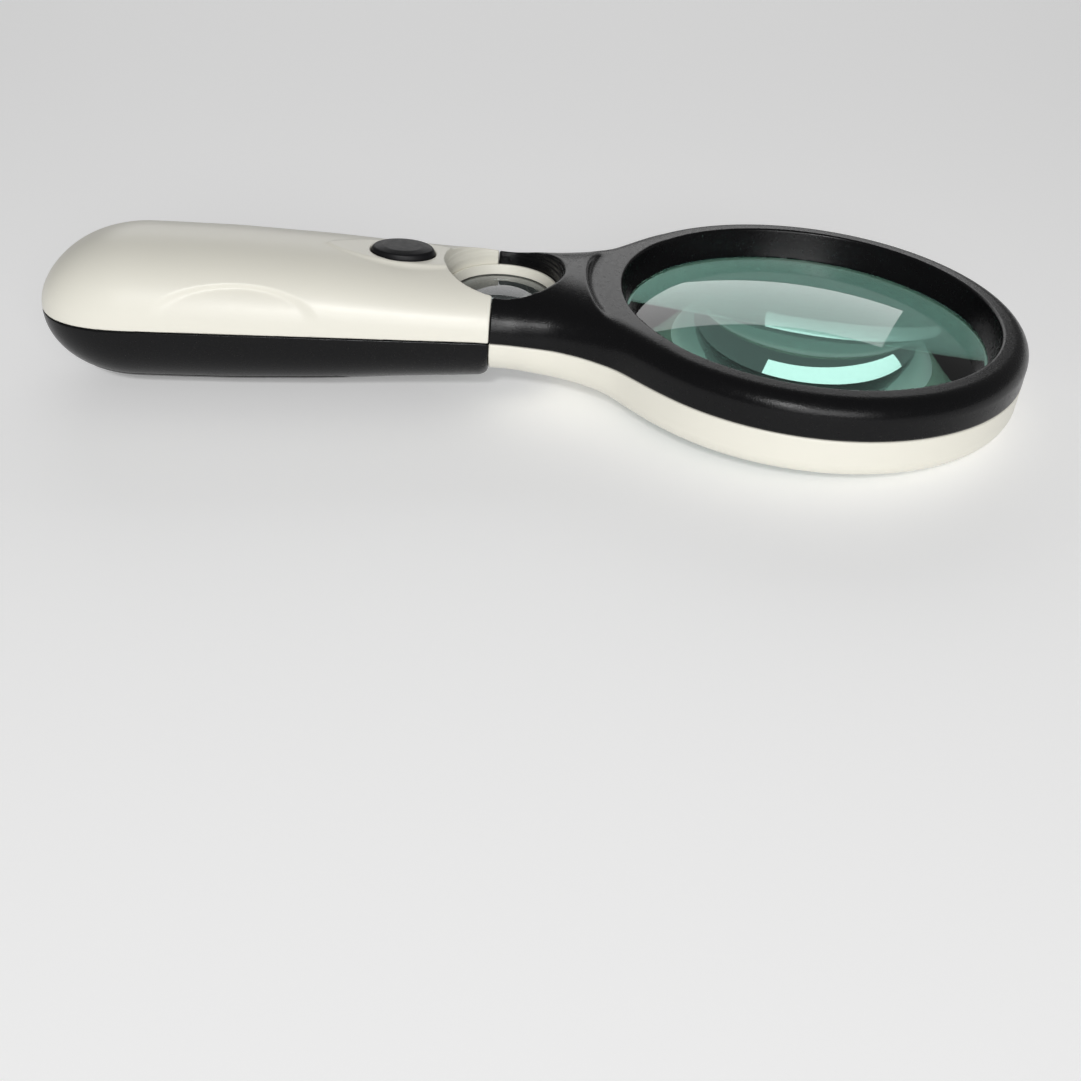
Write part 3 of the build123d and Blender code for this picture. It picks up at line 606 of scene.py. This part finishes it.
handle_across = ruler((-18.6, 0.4), (-14.0, 0.28), (14.0, 0.4), 18.6)
rim_along = ruler((-65.8, 0.22), (-50.0, 0.4), (-25.0, 0.5), 45.6)
rim_across = ruler((-45.6, 0.5), (-20.0, 0.34), (20.0, 0.5), 45.6)
shells = [
    (
        "handle_top",
        handle_top,
        (
            ruler((-159.6, 0.42), (-145.0, 0.62), (-100.0, 0.36), (-80.0, 0.24), -64.9),
            handle_across,
            ruler((-4.9, 0.32), (6.6, 0.23), (12.4, 0.4), 13.4),
        ),
        IVORY,
        ("housing", ["handle_top_shell"], "ivory_shell"),
    ),
    (
        "handle_bottom",
        handle_bottom,
        (
            ruler((-159.6, 0.34), (-147.0, 0.6), (-94.5, 0.3), (-82.0, 0.3), -64.9),
            handle_across,
            ruler((-20.6, 0.3), 0.4),
        ),
        BLACK,
        ("housing", ["handle_bottom_shell"], "black_shell"),
    ),
    (
        "frame_top",
        frame_half(True),
        (rim_along, rim_across, ruler((-0.5, 0.3), (6.6, 0.22), 11.6)),
        BLACK,
        ("housing", ["frame_top_shell"], "black_shell"),
    ),
    (
        "frame_bottom",
        frame_half(False),
        (rim_along, rim_across, ruler((-11.0, 0.3), 0.5)),
        IVORY,
        ("housing", ["frame_bottom_shell"], "ivory_shell"),
    ),
    (
        "door_cover",
        battery_door,
        (
            ruler((-149.6, 0.3), (-143.0, 0.5), (-99.0, 0.3), -91.2),
            ruler((-13.0, 0.3), (-8.0, 0.5), (8.0, 0.3), 13.0),
            ruler((-20.6, 0.3), -6.0),
        ),
        BLACK,
        ("door", ["battery_door"], "black_shell"),
    ),
]
for name, field, axes, look, where in shells:
    points, faces, normals = surface(field, axes)
    new_object(name, points, faces, look, *where, normals=normals)


# ----------------------------------------------------------------------------------------- optics
def spherical(r_edge, z_edge, bulge, steps, upward=True):
    """Profile points of a spherical face from its middle to its edge."""
    curve = (r_edge**2 + bulge**2) / (2 * bulge)
    sign = 1 if upward else -1
    out = []
    for t in np.linspace(0, 1, steps):
        r = r_edge * t
        out.append((r, z_edge + sign * (bulge - curve + math.sqrt(curve**2 - r * r))))
    return out


def lens_profile(edge_r, face_r, low, high, drop, rise, steps):
    """Section of a lens with a flat edge band from low to high and a domed face on each side."""
    top = spherical(face_r, high, rise, steps)
    bottom = spherical(face_r, low, drop, steps, upward=False)
    return [*bottom, (edge_r, low), (edge_r, high), *top[::-1]]


LENS_R, LENS_FACE_R, LENS_CURVE = 38.2, 37.4, 140
TUBE_OUT_R, TUBE_FOOT = 11.45, -7.4
sag = LENS_CURVE - math.sqrt(LENS_CURVE**2 - LENS_FACE_R**2)
profile = lens_profile(LENS_R, LENS_FACE_R, -LENS_SEAT_HALF, LENS_SEAT_HALF, sag, sag, 60)
points, faces = turned(profile, closed=False, around=256)
new_object("main_lens_glass", points, faces, LENS, "housing", ["main_lens"], "lens_glass", sharp=30)
points, faces = turned(lens_profile(10.6, 9.8, 1.9, 3.4, 3.4, 1.3, 40), LOUPE_X, closed=False)
new_object("loupe_lens_glass", points, faces, LOUPE, "housing", ["loupe_lens"], "lens_glass", sharp=30)
ring_profile = [(10.9, 5.4), (10.3, 3.42), (TUBE_OUT_R, 3.42), (TUBE_OUT_R, 5.4), (10.9, 5.4)]
points, faces = turned(rounded(ring_profile, 0.18)[:-1], LOUPE_X)
new_object(
    "loupe_retainer", points, faces, IVORY, "housing", ["loupe_retaining_ring"], "ivory_shell", sharp=40
)
tube_profile = [
    (9.9, 1.9),
    (10.75, 1.9),
    (10.75, 3.38),
    (TUBE_OUT_R, 3.38),
    (TUBE_OUT_R, TUBE_FOOT),
    (11.0, TUBE_FOOT),
    (10.8, -4.6),
    (10.3, -4.4),
    (10.2, -2.9),
    (10.0, -2.7),
    (9.9, 1.9),
]
points, faces = turned(rounded(tube_profile, 0.12)[:-1], LOUPE_X)
new_object("loupe_barrel", points, faces, TUBE, "housing", ["loupe_tube"], "black_trim", sharp=40)

# ----------------------------------------------------------------------------------------- button
BUTTON_FOOT, BUTTON_BROW, BUTTON_OVAL = 7.62, 12.1, (1.0, 0.735)
side_points = [
    (0.0, BUTTON_FOOT),
    (7.3, BUTTON_FOOT),
    (7.3, 8.35),
    (6.55, 8.4, 0.1),
    (6.55, 11.2, 0.8),
    (6.15, BUTTON_BROW, 1.0),
    (4.0, BUTTON_BROW + 0.34, 3.0),
    (0.0, BUTTON_BROW + 0.38),
]
points, faces = turned(rounded(side_points, 0.12, 8), BUTTON_X, closed=False, oval=BUTTON_OVAL)
new_object("push_button", points, faces, BUTTON, "button", ["switch_button"], "black_trim", sharp=50)

SPRING_FOOT, SPRING_HEIGHT, SPRING_R, SPRING_WIRE, SPRING_TURNS = 4.6, 3.0, 2.7, 0.25, 4
STEEL = material("plated_steel", (0.62, 0.61, 0.58), 0.24, metallic=1.0, mottle=0.05)


def coil_spring(along, around):
    """The button's return spring, a round wire wound up an upright axis, with flat ends."""
    points, faces = [], []
    for n in range(along + 1):
        turn = 2 * math.pi * SPRING_TURNS * n / along
        level = SPRING_FOOT + SPRING_WIRE + (SPRING_HEIGHT - 2 * SPRING_WIRE) * n / along
        for k in range(around):
            a = 2 * math.pi * k / around
            r = SPRING_R + SPRING_WIRE * math.cos(a)
            z = level + SPRING_WIRE * math.sin(a)
            points.append((BUTTON_X + r * math.cos(turn), r * math.sin(turn), z))
    for n in range(along):
        low, high = n * around, (n + 1) * around
        for k in range(around):
            m = (k + 1) % around
            faces.append((low + k, high + k, high + m, low + m))
    faces.append(tuple(range(around)))
    faces.append(tuple(range(along * around, (along + 1) * around))[::-1])
    return points, faces


points, faces = coil_spring(160, 12)
spring = new_object(
    "button_spring", points, faces, STEEL, "housing", ["switch_spring"], "contact_metal", sharp=50
)
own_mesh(spring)


# ------------------------------------------------------------------------------------------ lamps
def beam_frame(x, y, z, dip, ahead=0.0):
    """Matrix whose Z runs down a lamp's beam."""
    beam = Vector((math.cos(dip), 0, -math.sin(dip)))
    turn = beam.to_track_quat("Z", "Y").to_matrix().to_4x4()
    return Matrix.Translation(Vector((x, y, z)) + beam * ahead) @ turn


def lamp(name, node, *place_and_dip):
    """A clear round-nosed lamp with its little metal cup and yellow chip."""
    at = beam_frame(*place_and_dip, ahead=0.8)
    nose = [(1.45 * math.sin(a), -1.6 + 1.5 * math.cos(a)) for a in np.linspace(0, math.pi / 2, 14)]
    profile = [(0, -3.6), (1.45, -3.6), *[tuple(p) for p in nose[::-1]]]
    points, faces = turned(profile, closed=False, around=48, at=at)
    new_object(name + "_bulb", points, faces, CLEAR, "housing", [node], "lamp_clear", sharp=40)
    cup = [(0.0, -2.9), (0.35, -2.9), (0.85, -2.2), (0.95, -2.2), (0.95, -3.4), (0.0, -3.4)]
    points, faces = turned(cup, closed=False, around=32, at=at)
    new_object(name + "_cup", points, faces, CHROME, "housing", [], "contact_metal", sharp=30)
    chip = [(0.0, -2.55), (0.42, -2.62), (0.42, -2.88), (0.0, -2.88)]
    points, faces = turned(chip, closed=False, around=24, at=at)
    new_object(name + "_chip", points, faces, PHOSPHOR, "housing", [], "lamp_clear", sharp=30)


lamp("lamp_left", "led_left", LAMP_X, LAMP_Y, LAMP_Z, LAMP_DIP)
lamp("lamp_right", "led_right", LAMP_X, -LAMP_Y, LAMP_Z, LAMP_DIP)
# Painted shade: a black sleeve round each neck lamp, a dark ring put in to stand for the shade deep in the
# lamp holes; the real lamp has no such part.
painted_shade_sleeve = rounded([(1.5, -3.4), (1.5, -0.3), (1.72, -0.3), (1.72, -3.4), (1.5, -3.4)], 0.05)[:-1]
for side, spot in (("left", LAMP_Y), ("right", -LAMP_Y)):
    points, faces = turned(painted_shade_sleeve, around=48, at=beam_frame(LAMP_X, spot, LAMP_Z, LAMP_DIP))
    new_object(f"lamp_{side}_sleeve", points, faces, TUBE, "housing", [], "black_trim", sharp=40)
lamp("lamp_loupe", "led_loupe", LOUPE_LAMP_X - 0.2, 0, LOUPE_LAMP_Z, LOUPE_LAMP_DIP)

# ------------------------------------------------------------------- looks of the CAD's own pieces
SLEEVE = material("cell_sleeve", (0.10, 0.11, 0.13), 0.32, metallic=0.3, coat=0.4, mottle=0.08)
BOARD = material("board_green", (0.02, 0.13, 0.05), 0.35, coat=0.3, mottle=0.12)
GREY = material("grey_parts", (0.09, 0.09, 0.095), 0.45, mottle=0.1)
RED = material("wire_red", (0.42, 0.015, 0.012), 0.42, mottle=0.06)
INSIDE = material("inner_black", (0.012, 0.012, 0.013), 0.46, grain=0.4, mottle=0.1)
own_looks = {
    SLEEVE: ["battery_upper", "battery_left", "battery_right"],
    STEEL: ["contact_plates", "contact_springs", "board_screws"],
    BOARD: ["circuit_board", "led_board"],
    GREY: ["switch_body", "resistors"],
    RED: ["battery_wire_red", "lamp_wires"],
    INSIDE: [
        "battery_cradle",
        "loupe_lamp_holder",
        "switch_plunger",
        "battery_wire_black",
        "loupe_lamp_wire",
    ],
}
for look, names in own_looks.items():
    for node_name in names:
        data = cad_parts[node_name].data
        data.materials.clear()
        data.materials.append(look)

# ------------------------------------------------------------------------------------------ stage
FLOOR_SIZE, FLOOR_Z = 6, -0.0002
FLOOR_GLOW = 0.2
bpy.ops.mesh.primitive_plane_add(size=FLOOR_SIZE, location=(0, 0, FLOOR_Z))
floor = bpy.context.object
floor.name = "floor"
FLOOR = material("floor_white", (0.90, 0.90, 0.90), 0.7)
floor_shader = FLOOR.node_tree.nodes["Principled BSDF"]
floor_shader.inputs["Emission Color"].default_value = (1, 1, 1, 1)
floor_shader.inputs["Emission Strength"].default_value = FLOOR_GLOW
floor.data.materials.append(FLOOR)


def softbox(name, location, target, size, watts):
    """A rectangular studio light turned to its target."""
    light = bpy.data.lights.new(name, "AREA")
    light.shape = "RECTANGLE"
    light.size, light.size_y = size
    light.energy = watts
    holder = bpy.data.objects.new(name, light)
    bpy.context.scene.collection.objects.link(holder)
    holder.location = location
    holder.rotation_euler = (Vector(target) - Vector(location)).to_track_quat("-Z", "Y").to_euler()


softbox("far_window", (-0.07, 1.15, 0.51), (-0.07, 0, 0.02), (1.3, 0.46), 3.2)
softbox("front_key", (0.15, -0.95, 0.42), (0, 0, 0), (0.7, 0.4), 4.8)
softbox("front_lamp", (-0.12, -0.88, 0.66), (0, 0, 0), (0.10, 0.10), 3.6)
world = bpy.data.worlds.new("studio")
bpy.context.scene.world = world
world.use_nodes = True
sky = world.node_tree.nodes["Background"]
sky.inputs["Color"].default_value = (1, 1, 1, 1)
sky.inputs["Strength"].default_value = 0.16

# ----------------------------------------------------------------------------------------- camera
VIEW_ELEVATION, VIEW_AZIMUTH, VIEW_ROLL = math.radians(34.58), math.radians(-1.64), math.radians(0.76)
CAMERA_PLACE = (0.00939, -0.25036, 0.12871)
camera_data = bpy.data.cameras.new("camera")
camera = bpy.data.objects.new("camera", camera_data)
bpy.context.scene.collection.objects.link(camera)
bpy.context.scene.camera = camera
camera_data.sensor_width = 36
camera_data.lens = 43.02
camera_data.clip_start = 0.01
camera.location = CAMERA_PLACE
pan = Matrix.Rotation(-VIEW_AZIMUTH, 4, "Z")
pitch = Matrix.Rotation(math.pi / 2 - VIEW_ELEVATION, 4, "X")
camera.rotation_euler = (pan @ pitch @ Matrix.Rotation(VIEW_ROLL, 4, "Z")).to_euler()
bpy.context.scene.view_settings.view_transform = "Standard"
